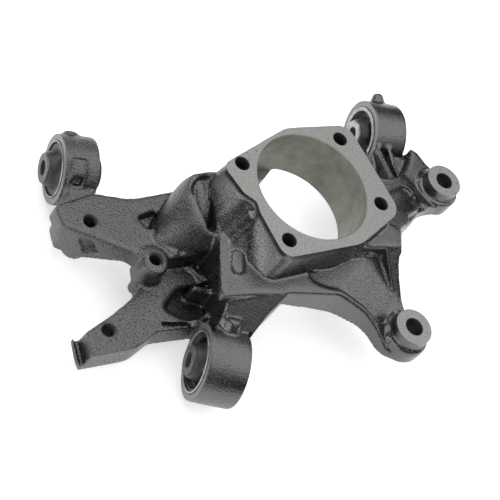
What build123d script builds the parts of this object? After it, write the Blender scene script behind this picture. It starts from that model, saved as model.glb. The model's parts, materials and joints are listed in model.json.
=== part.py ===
from build123d import *
from math import cos, radians, sin, tan
import os

# Rear steering knuckle with three bonded rubber bushings, in millimetres.
# The origin is the centre of the hub bore on the machined flange face.
# Z runs out of that face along the hub axis, and X along the bushing bolts.
# Every outline is a list of corners, each given as x, y and its corner radius.

# Hub barrel, its square flange and the bearing bolt holes
bore_d = 84.0
bore_depth = 41.5
barrel_wall = 9.0
rear_opening_d = 90.0
flange_land = 4.0
foot_z = -22.0
hub_hole_d = 10.2
hub_hole_depth = 19.0
hub_hole_pitch_r = 53.2
hub_hole_angles = (167.2, 54.4, -8.8, -121.1)
flange_outline = (
    (-67, 9, 7), (-12, 46.5, 22), (40, 56.5, 11), (67, -13, 12), (29, -43, 28), (-33, -60, 9),
    (-45.5, -26, 6), (-46, -18, 6), (-55, -12, 8),
)
foot_outline = (
    (-71, 9, 7), (-13, 47, 22), (40, 57, 11), (68, -13, 12), (30, -45, 28), (-36, -65, 9),
    (-50, -51, 20), (-64, -40, 8), (-66.5, -20, 40),
)

# Lug behind the barrel, seen through the bore, and the low knob on the gusset
lug_outline = ((-26, 28, 2), (-9, 34, 4), (0, 45, 2), (-6, 56, 3), (-32, 44, 3))
lug_back_z = -60.0
knob_place = (-57.0, -53.0)
knob_size = (21.0, 11.0)
knob_turn = 78.0
knob_h = 2.5
knob_taper = 40.0

# Round channel that runs down the hub wall from the flange's notch
channel_start = (-52.5, -27.0, -4.5)
channel_end = (-65.5, -36.0, -17.0)
channel_r = 7.0

# Caliper web: a sloping plate with a recess, a raised rim and a lower, flatter end at each boss
gusset_z = -22.0
boss_floor_z = -46.0
web_back_z = -58.0
web_outline = (
    (-66, -20, 3), (-73, -80, 3), (-30, -73, 60), (22, -71, 60), (50, -78, 30), (64, -96, 14),
    (80, -102, 14), (98, -88, 10), (84, -60, 30), (74, -36, 30), (80, -14, 12), (60, 0, 10), (20, -20, 10),
)
web_top = ((12, -72, gusset_z), (61, -33, -25), (78, -72, boss_floor_z))
web_back = ((12, -72, -45), (61, -33, -47), (78, -72, web_back_z))
recess_outline = (
    (-3, -46, 4), (-4, -60, 8), (8, -65.5, 20), (24, -67.5, 40), (43, -72, 20), (56, -79, 8), (70, -80, 5),
    (77, -62, 5), (68, -45, 10), (61, -35, 5), (30, -40, 10),
)
recess_depth = 2.5
rim_outline = (
    (60, -24, 2), (61, -35, 3), (67, -45, 10), (78, -62, 3), (85, -62, 3), (72, -37, 30), (76, -19, 5),
    (72, -12, 3),
)
rim_top = ((0, -33, -15), (90, -33, -15), (0, -62, boss_floor_z))

# Upper web: from the flange to the upper boss and the upper bushing
shoulder_of_web_z = -14.0
upper_web_outline = (
    (36, -37, 3), (62, -34, 4), (72, -32, 4), (78, -16, 25), (97, -2, 30), (125, 24, 30), (152, 30, 10),
    (160, 50, 12), (140, 66, 20), (133, 79, 7), (112, 80, 10), (80, 78, 12), (46, 44, 12), (50, 0, 5),
)
upper_web_top = ((66, -14, shoulder_of_web_z), (98, -3, -27), (128, 40, -47))
upper_web_back = ((66, -14, -38), (98, -3, -46), (128, 40, web_back_z))
panel_outline = ((80, 20, 3), (108, 39, 3), (115, 36, 4), (111.5, 17, 4), (96.5, 6, 4), (82, 6, 3))
panel_depth = 3.0
terrace_outline = ((96.5, 5, 3), (113, 17, 4), (122, 26, 4), (140, 20, 3), (110, -20, 3), (92, -8, 3))
terrace_depth = 5.5
fan_centre = (73.0, 93.5)
fan_r = 56.0
fan_depth = 9.0
fan_rib_t = 4.0
fan_rib_places = (98.5, 108.0)

# Caliper bosses, each with a machined face and a clearance hole
boss_d = 28.0
boss_hole_d = 13.0
boss_face_z = -34.8
boss_foot_d = 34.0
boss_step_z = -43.5
boss_places = ((81.5, -84.6), (141.7, 44.1))

# Fork for the trailing arm: two arms on two levels that meet at the middle boss
arm_hole_d = 8.5
upper_arm_z = -42.0
upper_arm_t = 14.0
upper_arm_outline = (
    (-172, -8, 4), (-143, 5, 20), (-117, 3, 40), (-82, 14, 20), (-62, 10, 10), (-45, -30, 5),
    (-112, -46, 10), (-121, -40, 6), (-143, -32, 30), (-168, -24, 3),
)
upper_arm_hole = (-149.0, -19.0)
arm_pad_outline = ((-167, -7, 5), (-120, 2, 8), (-119, -40, 5), (-143, -31, 20), (-165, -23.5, 3))
arm_pad_z = -71.0
arm_pad_slope = ((-148, 0, arm_pad_z), (-148, -30, arm_pad_z), (-121, 0, upper_arm_z - upper_arm_t))
arm_seat_d = 18.0
arm_seat_z = -76.0
side_pocket_outline = ((-156, -48, 2), (-147, -46.5, 2), (-137, -59, 2), (-147, -64, 3))
side_pocket_y = (-60.0, -27.5)
lower_arm_z = -58.0
lower_arm_t = 20.0
lower_arm_outline = (
    (-109, -36, 5), (-110, -54, 8), (-119, -64, 8), (-134, -77.5, 30), (-153.5, -91.5, 6), (-160.5, -91.5, 2),
    (-161, -111, 3), (-120, -101, 25), (-104, -88, 12), (-77, -83, 10), (-55, -78, 5), (-40, -45, 10),
    (-60, -25, 5),
)
lower_arm_hole = (-139.0, -90.0)
end_cut_profile = (
    (-180, -84, 1), (-152.5, -84, 1), (-161.5, -67, 2), (-158.5, -67, 1), (-157, -71, 3), (-154.5, -71, 3),
    (-152.5, -57, 1), (-152.5, -40, 1), (-180, -40, 1),
)
end_cut_y = (-130.0, -70.0)
end_cut_pivot = (-154.5, -100.0)
end_cut_turn = 6.0
middle_boss_place = (-107.0, -45.0)
middle_boss_d = 20.5
middle_boss_z = -40.0
middle_flat_x = -115.5
middle_boss_back = -64.0

# Pockets and a rib on the arms
arm_pocket_outline = ((-114, -11, 2), (-97, -3, 2), (-104, -22, 2))
arm_pocket_depth = 7.0
lower_pocket_outline = (
    (-98, -70, 3), (-89, -60, 2), (-83, -54, 3), (-62, -50, 3), (-66, -72, 10), (-80, -78, 3),
)
lower_pocket_floor = ((-98, -70, -60.5), (-84, -76, -62), (-76, -56, -66))
slot_outline = ((-105, -81.3, 0.5), (-79, -79.5, 1), (-79, -83, 1), (-98, -83, 1))
slot_depth = 5.0
rib_bar_outline = ((-78, -55, 1.5), (-60, -58, 1.5), (-60, -62.5, 1.5), (-78, -59.5, 1.5))
rib_bar_z = -49.0
lip_centre = (-83.0, -52.0)
lip_r = 17.0
lip_t = 2.5
lip_h = 2.5
lip_angles = (10.0, 92.0)
curved_rib_centre = (-85.0, -57.0)
curved_rib_r = 25.0
curved_rib_t = 2.5
curved_rib_z = -55.0
curved_rib_angles = (-68.0, 4.0)
fin_outline = ((-100, -28, 1), (-88, -37, 1), (-90, -40, 1), (-103, -31, 1))
fin_z = -40.5

# Core between the flange and the fork
core_outline = (
    (-68, -30, 8), (-67, 4, 8), (-50, 18, 10), (-20, 36, 10), (-16, 30, 5), (-36, -38, 20), (-62, -60, 8),
)
core_z = (-62.0, foot_z)
core_pocket_outlines = (
    ((-92, -30, 5), (-86, 0, 5), (-78, 2, 4), (-78, -32, 5)),
    ((-72, -34, 5), (-72, 3, 5), (-64, 4, 5), (-54, -8, 8), (-56, -36, 8)),
)
core_pocket_top = -42.0

# Shoulder: sections along Y of the rounded hump between the fork and the flange, from its foot to its valley
shoulder_base_z = -60.0
shoulder_inner_x = -48.0
scoop_start = (-74, 0, -15)
scoop_end = (-69, -20, -28)
scoop_r = 9.5
shoulder_sections = (
    (12.0, ((-83, -37), (-79.5, -19), (-71, -12.5), (-55, -15))),
    (-8.0, ((-99.5, -46), (-91, -24), (-81.5, -16), (-62, -24))),
    (-26.0, ((-108, -46), (-94.5, -30), (-80, -22), (-60, -24))),
    (-36.0, ((-106, -54), (-94, -46), (-80, -40), (-60, -34))),
)

# Bushing eyes: face centre, direction of the face, ring size and how far the inner sleeve stands proud,
# then the casting nub's angle, depth behind the face and size, and the angle of the rubber's voids
bushing_z = -63.5
eyes = {
    "lower": dict(
        face=(-76.7, -105.8), turn=169.6, ring_d=53.0, width=28.0, proud=6.0, proud_behind=6.0,
        nub=52, nub_at=14.0, nub_d=14.0, nub_top_d=13.0, nub_h=9.0, void=90,
    ),
    "left": dict(
        face=(-160.6, 34.6), turn=180.0, ring_d=49.0, width=24.0, proud=8.0, proud_behind=4.0,
        nub=33, nub_at=9.5, nub_d=12.0, nub_top_d=10.0, nub_h=2.5, void=None,
    ),
    "upper": dict(
        face=(96.0, 99.4), turn=180.0, ring_d=53.6, width=26.0, proud=7.0, proud_behind=5.0,
        nub=33, nub_at=13.0, nub_d=13.0, nub_top_d=7.0, nub_h=7.0, void=-31,
    ),
}

# Necks from the casting to the eyes
lower_x, lower_y = eyes["lower"]["face"]
left_x, left_y = eyes["left"]["face"]
upper_x, upper_y = eyes["upper"]["face"]
lower_neck_outline = (
    (-60, -40, 5), (-64, -60, 5), (lower_x + 11, lower_y + 25, 4), (lower_x + 5, lower_y + 9, 3),
    (lower_x + 32, lower_y + 9, 4), (-34, -84, 12), (-4, -58, 12), (-20, -40, 10),
)
lower_neck_z = (-72.0, gusset_z)
lower_neck_top = ((0, -73, gusset_z), (-70, -73, gusset_z), (0, -93, -42))
left_neck_outline = (
    (left_x + 3, left_y - 18, 3), (left_x + 3, -6, 3), (left_x + 23, -2, 3), (left_x + 23, left_y - 18, 3),
)
left_neck_z = (-72.0, -52.0)
upper_neck_outline = (
    (upper_x + 2, upper_y - 15, 4), (88, 62, 12), (110, 56, 8), (126, 66, 8), (upper_x + 24, upper_y - 15, 4),
)
upper_neck_z = (-76.0, -54.0)

# Gate left by the mould on the left eye: a square patch, then a lip round a small recess
gate_x = 9.0
gate_size = (11.0, 11.0)
gate_angles = (118.0, 141.0)
gate_heights = (1.8, 1.2)
gate_recess_size = (7.5, 5.5)
gate_recess_depth = 3.0

# Rings, sleeves and rubber
ring_wall = 5.0
ring_chamfer = 1.0
nub_root = 2.0
nub_edge = 1.5
outer_sleeve_wall = 2.0
outer_sleeve_set = 1.0
inner_sleeve_d = 20.8
bolt_hole_d = 10.6
rubber_lip = 1.5
rubber_dish = 6.0
rubber_dish_round = 1.5
rubber_outer_draft = 1.0
rubber_collar_t = 2.0
void_width = 4.0
void_sweep = 80.0

cut_past = 1.0
far = 200.0


def outline(corners):
    """A closed face from its corners, each rounded as far as its two sides allow."""
    points = [Vector(x, y) for x, y, r in corners]
    count = len(points)
    edges = []
    last = None
    for k in range(count + 1):
        here = points[k % count]
        before = here - points[(k - 1) % count]
        after = points[(k + 1) % count] - here
        half = radians(before.get_angle(after)) / 2
        reach = min(corners[k % count][2] * tan(half), 0.49 * before.length, 0.49 * after.length)
        start = here - before.normalized() * reach
        end = here + after.normalized() * reach
        inward = (after.normalized() - before.normalized()).normalized()
        middle = here + inward * (reach / tan(half)) * (1 / cos(half) - 1)
        if last is not None:
            edges.append(Line(last, start))
        if k < count:
            edges.append(ThreePointArc(start, middle, end))
        last = end
    return make_face(Wire(edges))


def slab(corners, z_low, z_high):
    return extrude(Pos(0, 0, z_low) * outline(corners), z_high - z_low, dir=(0, 0, 1))


def over_plane(points, drop=0.0):
    """Everything above the plane through three points, lowered by a drop."""
    first, second, third = (Vector(p) for p in points)
    normal = (second - first).cross(third - first)
    if normal.Z < 0:
        normal = normal * -1
    block = Box(4 * far, 4 * far, far, align=(Align.CENTER, Align.CENTER, Align.MIN))
    return Plane(origin=first - Vector(0, 0, drop), z_dir=normal) * block


def under_plane(points):
    return Pos(0, 0, -far) * Box(4 * far, 4 * far, 2 * far) - over_plane(points)


def upright(place, d, z_low, z_high):
    """A cylinder of one diameter standing along Z."""
    body = Cylinder(d / 2, z_high - z_low, align=(Align.CENTER, Align.CENTER, Align.MIN))
    return Pos(*place, z_low) * body


def hub_hole_places():
    return [(hub_hole_pitch_r * cos(radians(a)), hub_hole_pitch_r * sin(radians(a))) for a in hub_hole_angles]


def hub_block():
    """The square flange, flaring down to its foot, with the round barrel behind it."""
    land = slab(flange_outline, -flange_land, 0)
    top = Pos(0, 0, -flange_land) * outline(flange_outline)
    foot = Pos(0, 0, foot_z) * outline(foot_outline)
    barrel = upright((0, 0), bore_d + 2 * barrel_wall, -bore_depth, foot_z)
    flare = loft([foot, top], ruled=True) - round_channel(channel_start, channel_end, channel_r)
    return land + flare + barrel


def lower_web():
    plate = slab(web_outline, web_back_z, gusset_z) - over_plane(web_top) - under_plane(web_back)
    recess = slab(recess_outline, web_back_z, gusset_z) & over_plane(web_top, recess_depth)
    recess += slab(recess_outline, gusset_z - recess_depth, gusset_z)
    rim = slab(rim_outline, web_back_z, shoulder_of_web_z) - over_plane(rim_top) - under_plane(web_back)
    return plate - recess + rim


def upper_web():
    plate = slab(upper_web_outline, web_back_z, shoulder_of_web_z)
    plate = plate - over_plane(upper_web_top) - under_plane(upper_web_back)
    end = slab(upper_web_outline, web_back_z, boss_floor_z) - slab(foot_outline, web_back_z, 0)
    panel = slab(panel_outline, web_back_z, 0) & over_plane(upper_web_top, panel_depth)
    terrace = slab(terrace_outline, web_back_z, 0) & over_plane(upper_web_top, terrace_depth)
    return plate + end - panel - terrace - fan_pocket()


def fan_pocket():
    """The wide round recess beside the upper bushing, with its ribs left standing."""
    pocket = upright(fan_centre, 2 * fan_r, boss_floor_z - fan_depth, 0)
    for x in fan_rib_places:
        pocket -= Pos(x, fan_centre[1], 0) * Box(fan_rib_t, 4 * fan_r, far)
    return pocket


def caliper_boss(place):
    foot = upright(place, boss_foot_d, web_back_z, boss_step_z)
    return foot + upright(place, boss_d, web_back_z, boss_face_z)


def upper_arm():
    """The upper arm, thicker towards its end, with a bolt seat below and a pocket in its side."""
    arm = slab(upper_arm_outline, upper_arm_z - upper_arm_t, upper_arm_z)
    arm += slab(arm_pad_outline, arm_pad_z, upper_arm_z) - under_plane(arm_pad_slope)
    arm += upright(upper_arm_hole, arm_seat_d, arm_seat_z, upper_arm_z)
    arm -= slab(arm_pocket_outline, upper_arm_z - arm_pocket_depth, upper_arm_z)
    side = Plane(origin=(0, side_pocket_y[1], 0), x_dir=(1, 0, 0), z_dir=(0, -1, 0))
    reach = side_pocket_y[1] - side_pocket_y[0]
    return arm - extrude(side * outline(side_pocket_outline), reach, dir=(0, -1, 0))


def lower_arm():
    back = lower_arm_z - lower_arm_t
    arm = slab(lower_arm_outline, back, lower_arm_z)
    pocket = slab(lower_pocket_outline, back, lower_arm_z) - under_plane(lower_pocket_floor)
    slot = slab(slot_outline, lower_arm_z - slot_depth, lower_arm_z)
    return arm - pocket - slot - end_cut()


def end_cut():
    """What is taken off the lower arm's end: a round groove, a lip outside it and a draft below."""
    side = Plane(origin=(0, end_cut_y[1], 0), x_dir=(1, 0, 0), z_dir=(0, -1, 0))
    cut = extrude(side * outline(end_cut_profile), end_cut_y[1] - end_cut_y[0], dir=(0, -1, 0))
    return cut.rotate(Axis((*end_cut_pivot, 0), (0, 0, 1)), end_cut_turn)


def curved_rib(centre, r, t, angles, z_low, z_high):
    """A thin upright rib that follows part of a circle."""
    wall = upright(centre, 2 * r + t, z_low, z_high) - upright(centre, 2 * r - t, z_low, z_high)
    start, end = angles
    arc = CenterArc((0, 0), 2 * r, start, end - start)
    wedge = make_face(arc + Line(arc @ 1, (0, 0)) + Line((0, 0), arc @ 0))
    return wall & (Pos(*centre, z_low) * extrude(wedge, z_high - z_low, dir=(0, 0, 1)))


def fork_ribs():
    """The small ribs where the arms meet the core."""
    ribs = slab(rib_bar_outline, lower_arm_z - lower_arm_t, rib_bar_z)
    ribs += slab(fin_outline, lower_arm_z, fin_z)
    ribs += curved_rib(lip_centre, lip_r, lip_t, lip_angles, lower_arm_z - cut_past, lower_arm_z + lip_h)
    floor = lower_arm_z - lower_arm_t
    ribs += curved_rib(curved_rib_centre, curved_rib_r, curved_rib_t, curved_rib_angles, floor, curved_rib_z)
    return ribs


def middle_boss():
    boss = upright(middle_boss_place, middle_boss_d, middle_boss_back, middle_boss_z)
    beyond = Box(far, far, far, align=(Align.MAX, Align.CENTER, Align.CENTER))
    return boss - Pos(middle_flat_x, middle_boss_place[1], middle_boss_z) * beyond


def shoulder():
    sections = []
    for y, points in shoulder_sections:
        inner = (shoulder_inner_x, points[-1][1])
        crest = Spline(*points, inner)
        sides = Polyline(
            inner, (shoulder_inner_x, shoulder_base_z), (points[0][0], shoulder_base_z), points[0],
        )
        section = Plane(origin=(0, y, 0), x_dir=(1, 0, 0), z_dir=(0, -1, 0))
        sections.append(section * make_face(crest + sides))
    return loft(sections) - round_channel(scoop_start, scoop_end, scoop_r)


def round_channel(first, last, r):
    """A channel's tool: a round bar between two points, with round ends."""
    start, end = Vector(first), Vector(last)
    line = Plane(origin=start, z_dir=end - start)
    bar = line * Cylinder(r, (end - start).length, align=(Align.CENTER, Align.CENTER, Align.MIN))
    return bar + Pos(start) * Sphere(r) + Pos(end) * Sphere(r)


def gate():
    """The patch and lip that stand on the left ring."""
    eye = eyes["left"]
    body = None
    for angle, height in zip(gate_angles, gate_heights):
        block = on_ring(eye, angle, *gate_size, ring_wall / 2, height)
        body = block if body is None else body + block
    return body


def on_ring(eye, angle, along, across, deep, high):
    """A block on the outside of a ring, from a depth in its wall to a height over it."""
    face = eye_plane(eye)
    out = face.x_dir * sin(radians(angle)) + face.y_dir * cos(radians(angle))
    foot = face.origin - face.z_dir * gate_x + out * (eye["ring_d"] / 2 - deep)
    body = Box(along, across, deep + high, align=(Align.CENTER, Align.CENTER, Align.MIN))
    return Plane(origin=foot, x_dir=face.z_dir, z_dir=out) * body


def necks():
    lower = slab(lower_neck_outline, *lower_neck_z) - over_plane(lower_neck_top)
    return lower + slab(left_neck_outline, *left_neck_z) + slab(upper_neck_outline, *upper_neck_z)


def eye_plane(eye):
    """The plane of one bushing's face, looking out along its axis, with local X along Z."""
    turn = radians(eye["turn"])
    return Plane(origin=(*eye["face"], bushing_z), x_dir=(0, 0, 1), z_dir=(cos(turn), sin(turn), 0))


def along_eye(eye, d, near, deep):
    """A cylinder on a bushing's axis, between two depths behind its face."""
    body = Cylinder(d / 2, deep - near, align=(Align.CENTER, Align.CENTER, Align.MAX))
    return eye_plane(eye) * (Pos(0, 0, -near) * body)


def ring_bore_d(eye):
    return eye["ring_d"] - 2 * ring_wall


def rubber_d(eye):
    return ring_bore_d(eye) - 2 * outer_sleeve_wall


def eye_ring(eye):
    ring = along_eye(eye, eye["ring_d"], 0, eye["width"])
    ring = chamfer(ring.edges().filter_by(GeomType.CIRCLE), ring_chamfer)
    return ring + eye_nub(eye)


def eye_nub(eye):
    """The short round nub that the casting carries on the outside of each ring."""
    angle = radians(eye["nub"])
    face = eye_plane(eye)
    out = face.x_dir * sin(angle) + face.y_dir * cos(angle)
    middle = face.origin - face.z_dir * eye["nub_at"]
    body = Cone(
        eye["nub_d"] / 2, eye["nub_top_d"] / 2, nub_root + eye["nub_h"],
        align=(Align.CENTER, Align.CENTER, Align.MIN),
    )
    body = chamfer(body.edges().sort_by(Axis.Z)[-1], nub_edge)
    return Plane(origin=middle + out * (eye["ring_d"] / 2 - nub_root), z_dir=out) * body


def knuckle_casting():
    """The whole knuckle casting, machined at the flange, the bosses and the bushing eyes."""
    body = hub_block() + lower_web() + upper_web()
    for place in boss_places:
        body += caliper_boss(place)
    body += upper_arm() + lower_arm() + middle_boss() + shoulder()
    body += slab(core_outline, *core_z) + necks() + fork_ribs()
    knob = SlotOverall(*knob_size, rotation=knob_turn)
    body += Pos(*knob_place, gusset_z) * extrude(knob, knob_h, dir=(0, 0, 1), taper=knob_taper)
    for eye in eyes.values():
        body += eye_ring(eye)
    for eye in eyes.values():
        body -= along_eye(eye, ring_bore_d(eye), -cut_past, eye["width"] + cut_past)
    body -= upright((0, 0), bore_d, -bore_depth - cut_past, cut_past)
    body -= upright((0, 0), rear_opening_d, -far, -bore_depth)
    body += gate() + slab(lug_outline, lug_back_z, -bore_depth)
    body -= on_ring(eyes["left"], gate_angles[1], *gate_recess_size, gate_recess_depth, gate_heights[0])
    for pocket in core_pocket_outlines:
        body -= slab(pocket, -far, core_pocket_top)
    for place in hub_hole_places():
        body -= upright(place, hub_hole_d, -hub_hole_depth, cut_past)
    for place in boss_places:
        body -= upright(place, boss_hole_d, -far, 0)
    for place in (upper_arm_hole, lower_arm_hole, middle_boss_place):
        body -= upright(place, arm_hole_d, -far, 0)
    return body


def outer_sleeve(eye):
    near, deep = -outer_sleeve_set, eye["width"] - outer_sleeve_set
    return along_eye(eye, ring_bore_d(eye), near, deep) - along_eye(eye, rubber_d(eye), near, deep)


def inner_sleeve(eye):
    near, deep = -eye["proud"], eye["width"] + eye["proud_behind"]
    return along_eye(eye, inner_sleeve_d, near, deep) - along_eye(eye, bolt_hole_d, near, deep)


def rubber(eye):
    """The rubber between the sleeves, dished at both ends and voided where the eye calls for it."""
    inner, outer, width = inner_sleeve_d / 2, rubber_d(eye) / 2, eye["width"]
    dip = (inner + outer) / 2
    collar = eye["proud"] - rubber_lip
    collar_behind = width + eye["proud_behind"] - rubber_lip
    dish = rubber_dish - rubber_dish_round
    front = [
        (outer, -rubber_lip), (outer - rubber_outer_draft, -dish), (dip, -rubber_dish),
        (inner + rubber_collar_t, -dish), (inner, collar),
    ]
    back = [(r, -width - z) for r, z in reversed(front[:-1])]
    section = Polyline(*front, (inner, -collar_behind), *back, close=True)
    body = revolve(Plane.XZ * make_face(section), Axis.Z)
    if eye["void"] is not None:
        for side in (0, 180):
            arc = CenterArc((0, 0), dip, eye["void"] + side - void_sweep / 2, void_sweep)
            slot = Pos(0, 0, -collar_behind) * SlotArc(arc, void_width)
            body -= extrude(slot, collar_behind + collar, dir=(0, 0, 1))
    return eye_plane(eye) * body


os.makedirs("parts", exist_ok=True)
pieces = {"knuckle_casting": knuckle_casting()}
for name, eye in eyes.items():
    pieces[name + "_outer_sleeve"] = outer_sleeve(eye)
    pieces[name + "_rubber"] = rubber(eye)
    pieces[name + "_inner_sleeve"] = inner_sleeve(eye)
for name, piece in pieces.items():
    export_step(piece, "parts/" + name + ".step")
    print(name, round(piece.volume), len(piece.solids()), piece.is_valid)
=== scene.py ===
import bpy
import bmesh
import json
import math
from mathutils import Matrix, Vector


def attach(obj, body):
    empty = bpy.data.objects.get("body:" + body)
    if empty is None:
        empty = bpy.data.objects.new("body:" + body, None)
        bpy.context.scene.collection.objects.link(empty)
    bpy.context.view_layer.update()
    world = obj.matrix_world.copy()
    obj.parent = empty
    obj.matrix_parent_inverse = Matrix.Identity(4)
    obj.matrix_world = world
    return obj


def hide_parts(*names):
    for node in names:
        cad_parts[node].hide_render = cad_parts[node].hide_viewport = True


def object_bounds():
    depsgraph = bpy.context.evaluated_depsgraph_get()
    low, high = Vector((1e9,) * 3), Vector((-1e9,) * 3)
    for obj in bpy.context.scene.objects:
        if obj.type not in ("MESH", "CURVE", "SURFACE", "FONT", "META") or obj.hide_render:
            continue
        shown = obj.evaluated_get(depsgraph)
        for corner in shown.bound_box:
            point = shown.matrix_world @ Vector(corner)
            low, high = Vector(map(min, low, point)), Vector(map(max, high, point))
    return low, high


# Rear steering knuckle: a painted iron casting with three bonded rubber bushings.
# Metres, in the frame's axes: the origin is the hub bore's centre on the flange, and Z comes out of it.

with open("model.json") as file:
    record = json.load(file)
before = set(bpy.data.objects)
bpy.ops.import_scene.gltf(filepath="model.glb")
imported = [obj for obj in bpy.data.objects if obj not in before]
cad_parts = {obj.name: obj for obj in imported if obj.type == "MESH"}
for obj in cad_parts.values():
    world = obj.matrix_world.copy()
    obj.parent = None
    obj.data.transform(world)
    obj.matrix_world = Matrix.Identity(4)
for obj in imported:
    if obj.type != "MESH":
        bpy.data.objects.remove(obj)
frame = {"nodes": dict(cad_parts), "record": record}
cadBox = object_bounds()
mm = 0.001
weldWithin = 1e-6   # corners nearer than this are one
mounts = {mount["name"]: mount for mount in frame["record"]["mounts"]}
scene = bpy.context.scene
scene.view_settings.view_transform = "Standard"


def linearFromHex(text):
    channels = [int(text[i:i + 2], 16) / 255 for i in (1, 3, 5)]
    return [c / 12.92 if c <= 0.04045 else ((c + 0.055) / 1.055) ** 2.4 for c in channels] + [1.0]


def setInputs(tree, node, inputs):
    # each input takes a value, or a link from another node's output
    for key, value in inputs.items():
        if isinstance(value, bpy.types.NodeSocket):
            tree.links.new(value, node.inputs[key])
        else:
            node.inputs[key].default_value = value


def addNode(tree, kind, inputs=None, stops=None, **settings):
    # stops are a ramp's places, each with a hex colour or a plain number for a grey
    node = tree.nodes.new(kind)
    for key, value in settings.items():
        setattr(node, key, value)
    setInputs(tree, node, inputs or {})
    if stops:
        for element, (position, colour) in zip(node.color_ramp.elements, stops):
            element.position = position
            element.color = linearFromHex(colour) if isinstance(colour, str) else [colour] * 3 + [1.0]
    return node


def newMaterial(name):
    # spot is the place on the piece in millimetres
    material = bpy.data.materials.new(name)
    material.use_nodes = True
    tree = material.node_tree
    place = addNode(tree, "ShaderNodeTexCoord").outputs["Object"]
    spot = addNode(tree, "ShaderNodeMapping", {
        "Vector": place, "Scale": (1000, 1000, 1000)}).outputs["Vector"]
    return material, tree, tree.nodes["Principled BSDF"], spot


print("materials")

castPaint = dict(
    colour="#0e0e0e", thinColour="#161616", filmSize=25.0, filmBlend=(0.35, 0.7),   # the paint film
    # the lowest places between grains are duller, and drawn darker as painted shade
    pitShadeColour="#050505", pitBlend=(0.34, 0.46), pitRoughness=0.3,   # the lowest places between grains
    roughness=0.22, patchRoughness=0.05, patchBlend=(0.3, 0.7), ior=1.98,   # the sheen and its patches
    sandGrain=1.1, sandDepth=0.58, dimpleSpacing=2.7, dimpleWidth=0.9, dimpleDepth=0.28,
    rippleSize=6.0, rippleDepth=0.15,
    coarseX=-120.0, fineX=-50.0, fineShare=0.36,   # from full grain to this share of it along the part
)


def paintedCastIron(values):
    # semi-gloss black paint over sand-cast iron: the grain breaks the sheen into specks, with dull hollows
    # whose darker colour is painted shade
    # the grain is drawn about three times as coarse as moulding sand so that it shows, and the IOR is above
    # a paint's usual 1.5 because the real sheen is strong
    material, tree, shader, spot = newMaterial("painted_sand_cast_iron")
    sand = addNode(tree, "ShaderNodeTexNoise", {
        "Vector": spot, "Scale": 1 / values["sandGrain"], "Detail": 2.0, "Roughness": 0.6}).outputs["Fac"]
    ripple = addNode(tree, "ShaderNodeTexNoise", {
        "Vector": spot, "Scale": 1 / values["rippleSize"], "Detail": 2.0}).outputs["Fac"]
    patch = addNode(tree, "ShaderNodeTexNoise", {
        "Vector": spot, "Scale": 1 / values["filmSize"], "Detail": 3.0}).outputs["Fac"]
    # where the grain is lowest: duller, and darker with painted shade
    pitsAndShade = addNode(tree, "ShaderNodeValToRGB", {"Fac": sand}, zip(
        values["pitBlend"], (1, 0))).outputs["Color"]
    film = addNode(tree, "ShaderNodeValToRGB", {"Fac": patch}, zip(
        values["filmBlend"], (values["colour"], values["thinColour"]))).outputs["Color"]
    # inputs 6 and 7 are a colour mix's two colours, the film's and the painted shade in the hollows
    colour = addNode(tree, "ShaderNodeMix", {
        "Factor": pitsAndShade, 6: film, 7: linearFromHex(values["pitShadeColour"])}, data_type="RGBA").outputs[2]
    smooth, dull = (values["roughness"] + sign * values["patchRoughness"] for sign in (-1, 1))
    sheen = addNode(tree, "ShaderNodeValToRGB", {"Fac": patch}, zip(
        values["patchBlend"], (smooth, dull))).outputs["Color"]
    gloss = addNode(tree, "ShaderNodeMath", {
        0: pitsAndShade, 1: values["pitRoughness"], 2: sheen}, operation="MULTIPLY_ADD").outputs[0]
    # the sand is coarsest on the fork and finest on the webs
    along = addNode(tree, "ShaderNodeSeparateXYZ", {0: spot}).outputs["X"]
    coarse = addNode(tree, "ShaderNodeMapRange", {
        "Value": along, "From Min": values["coarseX"], "From Max": values["fineX"],
        "To Min": 1.0, "To Max": values["fineShare"]}).outputs["Result"]
    dots = addNode(tree, "ShaderNodeTexVoronoi", {
        "Vector": spot, "Scale": 1 / values["dimpleSpacing"]}).outputs["Distance"]
    dimples = addNode(tree, "ShaderNodeValToRGB", {"Fac": dots}, zip(
        (0.0, values["dimpleWidth"] / values["dimpleSpacing"]), (0, 1))).outputs["Color"]
    rippled = addNode(tree, "ShaderNodeBump", {
        "Height": ripple, "Strength": 1.0, "Distance": values["rippleDepth"] * mm}).outputs["Normal"]
    dimpled = addNode(tree, "ShaderNodeBump", {
        "Height": dimples, "Normal": rippled, "Strength": coarse,
        "Distance": values["dimpleDepth"] * mm}).outputs["Normal"]
    sandy = addNode(tree, "ShaderNodeBump", {
        "Height": sand, "Normal": dimpled, "Strength": coarse,
        "Distance": values["sandDepth"] * mm}).outputs["Normal"]
    setInputs(tree, shader, {
        "Base Color": colour, "Roughness": gloss, "Normal": sandy, "IOR": values["ior"]})
    return material


milledIron = dict(
    colour="#959593", darkColour="#828280", cloudSize=1.2, cloudBlend=(0.3, 0.65),
    speckColour="#474745", speckSize=2.5, speckBlend=(0.31, 0.37), speckDepth=0.05,
    roughness=0.48, darkerRougher=0.12, palerSmoother=0.05, glossBlend=(0.3, 0.7), metallic=0.6,
)


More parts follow.
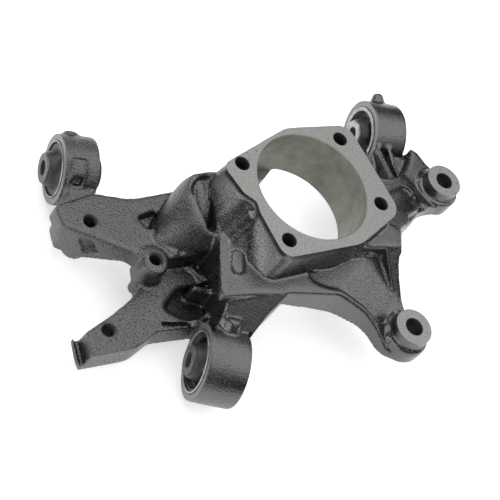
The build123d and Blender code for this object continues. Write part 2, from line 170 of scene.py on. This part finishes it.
def milledCastIron(values):
    # dry-milled grey iron: a pale, satin, slightly cloudy face with dark specks of graphite
    # the specks are drawn much larger than real graphite so that they show
    material, tree, shader, spot = newMaterial("machined_cast_iron")
    cloud = addNode(tree, "ShaderNodeTexNoise", {
        "Vector": spot, "Scale": 1 / values["cloudSize"], "Detail": 4.0}).outputs["Fac"]
    speck = addNode(tree, "ShaderNodeTexNoise", {
        "Vector": spot, "Scale": 1 / values["speckSize"], "Detail": 3.0, "Roughness": 0.7}).outputs["Fac"]
    base = addNode(tree, "ShaderNodeValToRGB", {"Fac": cloud}, zip(
        values["cloudBlend"], (values["darkColour"], values["colour"]))).outputs["Color"]
    speckMask = addNode(tree, "ShaderNodeValToRGB", {"Fac": speck}, zip(
        values["speckBlend"], (1, 0))).outputs["Color"]
    colour = addNode(tree, "ShaderNodeMix", {
        "Factor": speckMask, 6: base, 7: linearFromHex(values["speckColour"])}, data_type="RGBA").outputs[2]
    gloss = addNode(tree, "ShaderNodeValToRGB", {"Fac": cloud}, zip(values["glossBlend"], (
        values["roughness"] + values["darkerRougher"],
        values["roughness"] - values["palerSmoother"]))).outputs["Color"]
    bump = addNode(tree, "ShaderNodeBump", {
        "Height": speck, "Distance": values["speckDepth"] * mm}).outputs["Normal"]
    setInputs(tree, shader, {
        "Base Color": colour, "Roughness": gloss, "Normal": bump, "Metallic": values["metallic"]})
    return material


boredIron = dict(
    colour="#9b9a91", darkColour="#83827a", cloudSize=9.0, cloudBlend=(0.3, 0.7),
    feed=1.1, feedDepth=0.03, roughness=0.5, metallic=0.7,
)
# the drilled holes' darker colours are painted shade inside the holes
drilledIronInShade = dict(
    colour="#4a4a47", darkColour="#2e2e2c", cloudSize=9.0, cloudBlend=(0.3, 0.7),
    feed=1.1, feedDepth=0.03, roughness=0.6, metallic=0.5,
)


def turnedCastIron(name, values):
    # bored or drilled grey iron: browner than the milled face, and in the drilled holes darker with painted
    # shade, with lines from the tool's feed round the hole, drawn several times coarser than a real feed so
    # that they show
    material, tree, shader, spot = newMaterial(name)
    cloud = addNode(tree, "ShaderNodeTexNoise", {
        "Vector": spot, "Scale": 1 / values["cloudSize"], "Detail": 5.0}).outputs["Fac"]
    base = addNode(tree, "ShaderNodeValToRGB", {"Fac": cloud}, zip(
        values["cloudBlend"], (values["darkColour"], values["colour"]))).outputs["Color"]
    wavesPerUnit = 3.14   # about how often the wave texture repeats in one unit at scale 1
    lines = addNode(tree, "ShaderNodeTexWave", {
        "Vector": spot, "Scale": 1 / (values["feed"] * wavesPerUnit), "Distortion": 0.6,
        "Detail": 1.0}, wave_type="BANDS", bands_direction="Z").outputs["Fac"]
    bump = addNode(tree, "ShaderNodeBump", {
        "Height": lines, "Strength": 0.5, "Distance": values["feedDepth"] * mm}).outputs["Normal"]
    setInputs(tree, shader, {
        "Base Color": base, "Normal": bump, "Roughness": values["roughness"],
        "Metallic": values["metallic"]})
    return material


# turned steel tube: bright, with a soft cloudy shine
brightSleeve = dict(
    colour="#bcbcba", darkColour="#94948f", cloudSize=4.0, cloudBlend=(0.35, 0.7), cloudDepth=0.08,
    roughness=0.38, metallic=0.8,
)
# the same tube in a duller mid grey, used for the lower and left inner sleeves
darkerSleeve = dict(
    colour="#777775", darkColour="#5f5f5d", cloudSize=4.0, cloudBlend=(0.35, 0.7), cloudDepth=0.08,
    roughness=0.5, metallic=0.7,
)
# moulded natural rubber: near black and a little dusty, with a soft, waxy sheen
rubberFinish = dict(
    colour="#383939", darkColour="#292a2a", cloudSize=5.0, cloudBlend=(0.35, 0.75), cloudDepth=0.15,
    roughness=0.42, metallic=0.0,
)


def cloudedFinish(name, values):
    # two close colours in soft clouds that are also slightly raised
    material, tree, shader, spot = newMaterial(name)
    cloud = addNode(tree, "ShaderNodeTexNoise", {
        "Vector": spot, "Scale": 1 / values["cloudSize"], "Detail": 4.0}).outputs["Fac"]
    base = addNode(tree, "ShaderNodeValToRGB", {"Fac": cloud}, zip(
        values["cloudBlend"], (values["darkColour"], values["colour"]))).outputs["Color"]
    bump = addNode(tree, "ShaderNodeBump", {
        "Height": cloud, "Distance": values["cloudDepth"] * mm}).outputs["Normal"]
    setInputs(tree, shader, {
        "Base Color": base, "Normal": bump, "Roughness": values["roughness"],
        "Metallic": values["metallic"]})
    return material


paintMaterial = paintedCastIron(castPaint)
milledMaterial = milledCastIron(milledIron)
boredMaterial = turnedCastIron("bored_cast_iron", boredIron)
drilledShadedMaterial = turnedCastIron("drilled_cast_iron_painted_shade", drilledIronInShade)
steelMaterial = cloudedFinish("turned_sleeve_steel", brightSleeve)
darkerSteelMaterial = cloudedFinish("darker_sleeve_steel", darkerSleeve)
rubberMaterial = cloudedFinish("moulded_rubber", rubberFinish)


def mountAxis(name):
    mount = mounts[name]
    return Vector(mount["pos_m"]), Vector(mount["axis"]).normalized()


def axisPlace(origin, axis):
    # local Z runs along the axis from the origin
    return Matrix.Translation(origin) @ axis.to_track_quat("Z", "Y").to_matrix().to_4x4()


def measure(node, origin, axis):
    # how far a node reaches along an axis, and its narrowest and widest radius round it
    offsets = [vert.co - origin for vert in frame["nodes"][node].data.vertices]
    alongs = [offset.dot(axis) for offset in offsets]
    radii = [(offset - axis * along).length for offset, along in zip(offsets, alongs)]
    return dict(low=min(alongs), high=max(alongs), narrow=min(radii), wide=max(radii))


def newObject(bm, name, materials):
    mesh = bpy.data.meshes.new(name)
    bm.to_mesh(mesh)
    bm.free()
    for material in materials:
        mesh.materials.append(material)
    made = bpy.data.objects.new(name, mesh)
    scene.collection.objects.link(made)
    return made


def shadeByAngle(mesh, degrees):
    mesh.shade_smooth()
    mesh.set_sharp_from_angle(angle=math.radians(degrees))


def addPiece(bm, name, material, nodeName, sharpAngle):
    piece = newObject(bm, name, [material])
    shadeByAngle(piece.data, sharpAngle)
    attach(piece, "root")
    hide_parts(nodeName)
    return piece


def addModifier(piece, kind, name, **settings):
    modifier = piece.modifiers.new(name, kind)
    for key, value in settings.items():
        setattr(modifier, key, value)


def cutAway(piece, cutter):
    addModifier(piece, "BOOLEAN", cutter.name, operation="DIFFERENCE", solver="MANIFOLD", object=cutter)


def applyModifiers(piece):
    # the finished mesh replaces the one under the modifiers
    finished = bpy.data.meshes.new_from_object(piece.evaluated_get(bpy.context.evaluated_depsgraph_get()))
    piece.modifiers.clear()
    old = piece.data
    piece.data = finished
    bpy.data.meshes.remove(old)


def dropCutter(cutter):
    mesh = cutter.data
    bpy.data.objects.remove(cutter)
    bpy.data.meshes.remove(mesh)


def spinProfile(bm, profile, place, steps=96, finish=0):
    # a closed profile of (radius, height) corners spun round local Z, laid in its place and added to bm
    spun = bmesh.new()
    ring = [spun.verts.new((radius, 0, height)) for radius, height in profile]
    edges = [spun.edges.new((ring[k - 1], ring[k])) for k in range(len(ring))]
    bmesh.ops.spin(
        spun, geom=ring + edges, cent=(0, 0, 0), axis=(0, 0, 1), angle=2 * math.pi, steps=steps,
        use_merge=True)
    bmesh.ops.remove_doubles(spun, verts=spun.verts, dist=weldWithin)
    bmesh.ops.recalc_face_normals(spun, faces=spun.faces)
    for face in spun.faces:
        face.material_index = finish
    bmesh.ops.transform(spun, matrix=place, verts=spun.verts)
    mesh = bpy.data.meshes.new("spun")
    spun.to_mesh(mesh)
    spun.free()
    bm.from_mesh(mesh)
    bpy.data.meshes.remove(mesh)


def readEye(eyeName, facing):
    origin, axis = mountAxis(eyeName + "_bushing_bolt_hole")
    axis = axis * facing
    return dict(
        origin=origin, axis=axis, place=axisPlace(origin, axis),
        outer=measure(eyeName + "_outer_sleeve", origin, axis),
        rubber=measure(eyeName + "_rubber", origin, axis),
        inner=measure(eyeName + "_inner_sleeve", origin, axis),
    )


# each eye's axis points to the side that is seen, which is against the bolt's axis at the lower one
eyes = {eyeName: readEye(eyeName, facing) for eyeName, facing in (("lower", -1), ("left", 1), ("upper", 1))}
# an outer sleeve stands this far out of the ring's front face, and is as far inside it at the back
sleeveSet = 1.0 * mm

print("casting")

# lengths in millimetres
casting = dict(
    voxel=0.9, smoothTimes=5, keptFaces=0.5, lumpSize=14.0, lumpHeight=0.25, sharpAngle=38,   # the skin
    flatTop=0.85, steepSide=0.6, edgeRings=4, edgeSmoothings=22,   # the larger radius of the top edges
    stock=2.0, onFace=0.02, filler=0.4, fillerSteps=64,   # the metal left for machining
    flangeReach=120.0, flangeCut=12.0, bossReach=14.2, ringLand=5.2, faceCut=3.2, faceMargin=1.2,
    chamfer=0.5, overCut=4.0, drillTip=0.58, boreSteps=128, holeSteps=64,   # the holes
)
scoop = dict(
    start=(-74, 0, -15), end=(-69, -20, -28), deep=9.5,   # the ball's middle is this far under the line
    halves=(8.5, 16.0, 5.0), segments=48, rings=24,   # half its width, its length and its height
)
castingMaterials = (paintMaterial, milledMaterial, boredMaterial, drilledShadedMaterial)
milled, bored, drilled = 1, 2, 3   # their places in castingMaterials


def milledFaces():
    # each milled face: a point on it, the way it faces, the radius it takes up and the height cut over it
    up, cut = Vector((0, 0, 1)), casting["faceCut"] * mm
    flangeReach, flangeCut = casting["flangeReach"] * mm, casting["flangeCut"] * mm
    faces = [dict(point=Vector((0, 0, 0)), facing=up, radius=flangeReach, cut=flangeCut)]
    for name in ("lower_caliper_hole", "upper_caliper_hole"):
        centre, axis = mountAxis(name)
        top = centre + axis * mounts[name]["dims"]["length_mm"] / 2 * mm
        faces.append(dict(point=top, facing=axis, radius=casting["bossReach"] * mm, cut=cut))
    for eye in eyes.values():
        centre, axis, outer = eye["origin"], eye["axis"], eye["outer"]
        front, back = centre + axis * (outer["high"] - sleeveSet), centre + axis * (outer["low"] - sleeveSet)
        radius = outer["wide"] + casting["ringLand"] * mm
        faces.append(dict(point=front, facing=axis, radius=radius, cut=cut))
        faces.append(dict(point=back, facing=-axis, radius=radius, cut=cut))
    return faces


def seenFromFace(spot, face):
    # how high a place is over a milled face, and how far out from its point
    offset = spot - face["point"]
    height = offset.dot(face["facing"])
    return height, (offset - face["facing"] * height).length


def roundHoles():
    # the casting's machined holes, with the bushings' eyes
    blind = ["hub_bolt_hole_%d" % k for k in (1, 2, 3, 4)]
    names = ["hub_bore"] + blind + [
        "lower_caliper_hole", "upper_caliper_hole", "upper_arm_hole", "lower_arm_hole", "middle_boss_hole"]
    holes = []
    for name in names:
        centre, axis = mountAxis(name)
        length = mounts[name]["dims"]["length_mm"] * mm
        isBore = name == "hub_bore"
        holes.append(dict(
            mouth=centre if isBore else centre + axis * length / 2, axis=axis, depth=length,
            radius=mounts[name]["dims"]["r_mm"] * mm, through=name not in blind,
            finish=bored if isBore else drilled,
            steps=casting["boreSteps"] if isBore else casting["holeSteps"]))
    for eye in eyes.values():
        outer = eye["outer"]
        holes.append(dict(
            mouth=eye["origin"] + eye["axis"] * (outer["high"] - sleeveSet), axis=eye["axis"],
            depth=outer["high"] - outer["low"], radius=outer["wide"], through=True,
            finish=drilled, steps=casting["holeSteps"]))
    return holes


def addScoopFloor(bm):
    # the shoulder's scoop has a fuller floor as cast: a flattened ball along it, mostly sunk in the metal
    start, end = Vector(scoop["start"]) * mm, Vector(scoop["end"]) * mm
    along = (end - start).normalized()
    outward = along.cross(Vector((1, 0, 0))).normalized()
    across = along.cross(outward)
    turn = Matrix((across, along, outward)).transposed().to_4x4()
    centre = (start + end) / 2 - outward * scoop["deep"] * mm
    size = Matrix.Diagonal([half * mm for half in scoop["halves"]] + [1])
    bmesh.ops.create_uvsphere(
        bm, u_segments=scoop["segments"], v_segments=scoop["rings"], radius=1,
        matrix=Matrix.Translation(centre) @ turn @ size)


def castStock():
    # the casting before machining: faces left high and holes filled, as overlapping closed shells
    bm = bmesh.new()
    bm.from_mesh(frame["nodes"]["knuckle_casting"].data)
    bmesh.ops.remove_doubles(bm, verts=bm.verts, dist=weldWithin)
    stock = casting["stock"] * mm
    for face in milledFaces():
        for vert in bm.verts:
            height, out = seenFromFace(vert.co, face)
            if abs(height) < casting["onFace"] * mm and out < face["radius"]:
                vert.co += face["facing"] * stock
    for hole in roundHoles():
        wide, under, over = hole["radius"] + casting["filler"] * mm, -hole["depth"] - stock, stock / 2
        spinProfile(
            bm, ((0, under), (wide, under), (wide, over), (0, over)), axisPlace(hole["mouth"], hole["axis"]),
            steps=casting["fillerSteps"])
    addScoopFloor(bm)
    return bm


def holeCutters():
    bm = bmesh.new()
    edge, over = casting["chamfer"] * mm, casting["overCut"] * mm
    for hole in roundHoles():
        radius = hole["radius"]
        under = -hole["depth"] - (over if hole["through"] else 0)
        tip = under if hole["through"] else under - radius * casting["drillTip"]
        profile = (
            (0, tip), (radius, under), (radius, -edge), (radius + edge, 0), (radius + edge, over), (0, over))
        place = axisPlace(hole["mouth"], hole["axis"])
        spinProfile(bm, profile, place, steps=hole["steps"], finish=hole["finish"])
    return bm


def faceCutters():
    bm = bmesh.new()
    for face in milledFaces():
        wide, tall = face["radius"] + casting["faceMargin"] * mm, face["cut"]
        profile = ((0, 0), (wide, 0), (wide, tall), (0, tall))
        spinProfile(bm, profile, axisPlace(face["point"], face["facing"]), finish=milled)
    return bm


def isMilled(spot, faces):
    # over a milled face, or less than a millimetre under it
    for face in faces:
        height, out = seenFromFace(spot, face)
        if height > -mm and out < face["radius"]:
            return True
    return False


def roundTopEdges(mesh):
    # where a flat top turns down into a side, the casting has a larger radius than elsewhere
    faces = milledFaces()
    bm = bmesh.new()
    bm.from_mesh(mesh)
    chosen = set()
    for vert in bm.verts:
        slopes = [face.normal.z for face in vert.link_faces]
        if max(slopes) > casting["flatTop"] and min(slopes) < casting["steepSide"]:
            around = [edge.other_vert(vert).co for edge in vert.link_edges]
            inward = sum(around, Vector()) / len(around) - vert.co
            if inward.dot(vert.normal) < 0 and not isMilled(vert.co, faces):
                chosen.add(vert)
    for ring in range(casting["edgeRings"]):
        chosen |= {edge.other_vert(vert) for vert in chosen for edge in vert.link_edges}
    verts = sorted(chosen, key=lambda vert: vert.index)
    for turn in range(casting["edgeSmoothings"]):
        bmesh.ops.smooth_vert(
            bm, verts=verts, factor=0.5, use_axis_x=True, use_axis_y=True, use_axis_z=True)
    bm.to_mesh(mesh)
    bm.free()


def buildCasting():
    piece = newObject(castStock(), "knuckle_casting_finish", castingMaterials)
    addModifier(piece, "REMESH", "skin", mode="VOXEL", voxel_size=casting["voxel"] * mm)
    applyModifiers(piece)
    roundTopEdges(piece.data)
    addModifier(piece, "SMOOTH", "cast_radii", factor=0.5, iterations=casting["smoothTimes"])
    addModifier(piece, "DECIMATE", "thinned", decimate_type="COLLAPSE", ratio=casting["keptFaces"])
    lumps = bpy.data.textures.new("lumps", "CLOUDS")
    lumps.noise_scale = casting["lumpSize"] * mm
    addModifier(
        piece, "DISPLACE", "lumps", texture=lumps, strength=casting["lumpHeight"] * mm, mid_level=0.5,
        texture_coords="LOCAL")
    cutters = [
        newObject(faceCutters(), "face_cutters", castingMaterials),
        newObject(holeCutters(), "hole_cutters", castingMaterials)]
    for cutter in cutters:
        cutAway(piece, cutter)
    applyModifiers(piece)
    for cutter in cutters:
        dropCutter(cutter)
    shadeByAngle(piece.data, casting["sharpAngle"])
    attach(piece, "root")
    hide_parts("knuckle_casting")


buildCasting()

print("bushings")

outerSleeve = dict(wall=dict(lower=1.5, left=1.0, upper=3.0), edge=0.35, sharpAngle=35)
innerSleeve = dict(
    edge=0.35, sharpAngle=35,
    finish=dict(lower=darkerSteelMaterial, left=darkerSteelMaterial, upper=steelMaterial),
)
rubber = dict(
    lip=0.4, collarWall=1.4, dishDepth=dict(lower=3.4, left=1.0, upper=3.0),
    flare=dict(lower=4.0, left=2.2, upper=3.0), flareSteps=10,   # a higher power gives a flatter dish
    voidAngles=dict(lower=180, upper=59), voidWidth=4.0, voidSweep=80.0, voidSteps=20, voidRounding=0.95,
    sharpAngle=60, voidSharpAngle=50,
)


def sleevePiece(name, values, reach, narrow, place, material):
    # a tube with chamfered ends
    low, high, wide, edge = reach["low"], reach["high"], reach["wide"], values["edge"] * mm
    bm = bmesh.new()
    spinProfile(bm, (
        (narrow + edge, low), (wide - edge, low), (wide, low + edge), (wide, high - edge),
        (wide - edge, high), (narrow + edge, high), (narrow, high - edge), (narrow, low + edge)), place)
    addPiece(bm, name + "_finish", material, name, values["sharpAngle"])


def rubberProfile(eyeName, eye):
    # from the outer sleeve down into the dish and up the collar round the inner sleeve, then the same behind
    # the small rounds are shares of the collar's wall
    narrow, wide = eye["rubber"]["narrow"], eye["rubber"]["wide"]
    front, back = eye["outer"]["high"] - sleeveSet, eye["outer"]["low"] - sleeveSet
    wall, lip, dish = rubber["collarWall"] * mm, rubber["lip"] * mm, rubber["dishDepth"][eyeName] * mm
    proud = eye["rubber"]["high"] - front
    rim, collar = wide - 2 * wall, narrow + 0.8 * wall
    half = [(wide, -lip), (wide - 0.8 * wall, -lip), (wide - 1.3 * wall, -lip - 0.4 * dish)]
    for k in range(rubber["flareSteps"] + 1):
        share = k / rubber["flareSteps"]
        height = -dish + (dish + 0.85 * proud) * share ** rubber["flare"][eyeName]
        half.append((rim + (collar - rim) * share, height))
    half += [(narrow + 0.6 * wall, 0.96 * proud), (narrow + 0.3 * wall, proud), (narrow, proud)]
    profile = [(radius, front + z) for radius, z in half]
    profile += [(narrow, eye["rubber"]["low"])] + [(radius, back - z) for radius, z in reversed(half[:-2])]
    return profile


def voidCutter(eye, angle):
    # two kidney-shaped voids, swept round the axis, raised right through and rounded at their ends
    reach = eye["rubber"]
    middle, half = (reach["narrow"] + reach["wide"]) / 2, rubber["voidWidth"] / 2 * mm
    sweep = math.radians(rubber["voidSweep"])
    cutter = bmesh.new()
    for side in (0, math.pi):
        ends = [cutter.verts.new((middle + sign * half, 0, reach["low"])) for sign in (-1, 1)]
        edge = cutter.edges.new(ends)
        start = Matrix.Rotation(math.radians(angle) + side - sweep / 2, 3, "Z")
        bmesh.ops.rotate(cutter, verts=ends, cent=(0, 0, 0), matrix=start)
        bmesh.ops.spin(
            cutter, geom=ends + [edge], cent=(0, 0, 0), axis=(0, 0, 1), angle=sweep,
            steps=rubber["voidSteps"])
    raised = bmesh.ops.extrude_face_region(cutter, geom=cutter.faces[:])["geom"]
    tops = [vert for vert in raised if isinstance(vert, bmesh.types.BMVert)]
    bmesh.ops.translate(cutter, verts=tops, vec=(0, 0, reach["high"] - reach["low"]))
    bmesh.ops.recalc_face_normals(cutter, faces=cutter.faces)
    uprights = [edge for edge in cutter.edges if abs(edge.verts[0].co.z - edge.verts[1].co.z) > mm]
    corners = [edge for edge in uprights if edge.calc_face_angle(0) > 1]   # sharper than one radian
    bmesh.ops.bevel(
        cutter, geom=corners, offset=rubber["voidRounding"] * half, segments=4, profile=0.5, affect="EDGES",
        material=-1)
    bmesh.ops.transform(cutter, matrix=eye["place"], verts=cutter.verts)
    return cutter


def rubberPiece(eyeName, eye):
    name = eyeName + "_rubber"
    bm = bmesh.new()
    spinProfile(bm, rubberProfile(eyeName, eye), eye["place"])
    piece = addPiece(bm, name + "_finish", rubberMaterial, name, rubber["sharpAngle"])
    if eyeName in rubber["voidAngles"]:
        cutter = newObject(voidCutter(eye, rubber["voidAngles"][eyeName]), "void_cutter", [rubberMaterial])
        cutAway(piece, cutter)
        applyModifiers(piece)
        dropCutter(cutter)
        shadeByAngle(piece.data, rubber["voidSharpAngle"])


def buildBushing(eyeName, eye):
    outer, inner, place = eye["outer"], eye["inner"], eye["place"]
    boltHole = mounts[eyeName + "_bushing_bolt_hole"]["dims"]["r_mm"] * mm
    outerHole = outer["wide"] - outerSleeve["wall"][eyeName] * mm
    innerSteel = innerSleeve["finish"][eyeName]
    sleevePiece(eyeName + "_outer_sleeve", outerSleeve, outer, outerHole, place, steelMaterial)
    sleevePiece(eyeName + "_inner_sleeve", innerSleeve, inner, boltHole, place, innerSteel)
    rubberPiece(eyeName, eye)


for eyeName, eye in eyes.items():
    buildBushing(eyeName, eye)

print("floor and world")

floorFinish = dict(colour="#f4f4f4", roughness=0.9, lift=0.55, mirroredLift=0.45, size=1.6)
studio = dict(lightOnObject=0.09, whiteBehind=1.0)


def paleFloor(values):
    # a matt floor that is lifted to white for the camera and for what mirrors it, and keeps its shadows
    material, tree, shader = newMaterial("pale_matt_floor")[:3]
    rays = addNode(tree, "ShaderNodeLightPath").outputs
    mirrored = addNode(tree, "ShaderNodeMath", {
        0: rays["Is Glossy Ray"], 1: rays["Is Transmission Ray"]}, operation="MAXIMUM").outputs[0]
    inMetal = addNode(tree, "ShaderNodeMath", {
        0: mirrored, 1: values["mirroredLift"]}, operation="MULTIPLY").outputs[0]
    lift = addNode(tree, "ShaderNodeMath", {
        0: rays["Is Camera Ray"], 1: values["lift"], 2: inMetal}, operation="MULTIPLY_ADD").outputs[0]
    setInputs(tree, shader, {
        "Base Color": linearFromHex(values["colour"]), "Roughness": values["roughness"],
        "Emission Color": (1, 1, 1, 1), "Emission Strength": lift})
    return material


def layFloor(values):
    bm = bmesh.new()
    bmesh.ops.create_grid(bm, x_segments=2, y_segments=2, size=values["size"] / 2)
    bmesh.ops.translate(bm, vec=(0, 0, cadBox[0][2]), verts=bm.verts)
    floor = newObject(bm, "floor", [paleFloor(values)])


def addWorld(values):
    # white for the camera, and a faint even light on the object
    world = bpy.data.worlds.new("studio")
    scene.world = world
    world.use_nodes = True
    tree = world.node_tree
    rays = addNode(tree, "ShaderNodeLightPath").outputs
    strength = addNode(tree, "ShaderNodeMapRange", {
        "Value": rays["Is Camera Ray"], "To Min": values["lightOnObject"],
        "To Max": values["whiteBehind"]}).outputs["Result"]
    setInputs(tree, tree.nodes["Background"], {"Color": (1, 1, 1, 1), "Strength": strength})


layFloor(floorFinish)
addWorld(studio)

print("lamps and camera")


def addLamp(name, place, target, size, power):
    data = bpy.data.lights.new(name, "AREA")
    data.shape = "RECTANGLE"
    data.size, data.size_y = size
    data.energy = power
    lamp = bpy.data.objects.new(name, data)
    scene.collection.objects.link(lamp)
    lamp.location = place
    lamp.rotation_euler = (Vector(target) - Vector(place)).to_track_quat("-Z", "Y").to_euler()


# each lamp's place and target, its two sides in metres and its power in watts
middle = (0.0, 0.0, -0.04)
addLamp("overhead", place=(0.30, 0.22, 1.15), target=(0.25, 0.20, -0.04), size=(2.8, 1.9), power=27)
addLamp("back_left", place=(-0.75, 1.1, 0.75), target=middle, size=(0.5, 0.5), power=4)
addLamp("right", place=(1.50, 0.30, 0.62), target=middle, size=(1.0, 0.7), power=4)
addLamp("low_left", place=(-1.45, -0.80, 0.38), target=middle, size=(2.4, 0.8), power=15)
addLamp("front_right", place=(0.70, -1.06, 0.68), target=middle, size=(0.8, 0.28), power=0.75)

# the photograph's viewpoint, read from the hub flange's holes and corners: millimetres and three directions
viewpoint = dict(
    place=(-481.4, -510.1, 709.1), right=(0.89, -0.163, 0.426), down=(0.082, -0.861, -0.502),
    forward=(0.449, 0.482, -0.753), lens=105.24, nearest=0.05,
)


def addCamera(values):
    data = bpy.data.cameras.new("camera")
    data.lens = values["lens"]
    data.clip_start = values["nearest"]
    camera = bpy.data.objects.new("camera", data)
    scene.collection.objects.link(camera)
    right, down, forward = (Vector(values[key]).normalized() for key in ("right", "down", "forward"))
    turn = Matrix((right, -down, -forward)).transposed().to_4x4()
    camera.matrix_world = Matrix.Translation(Vector(values["place"]) * mm) @ turn
    scene.camera = camera


addCamera(viewpoint)
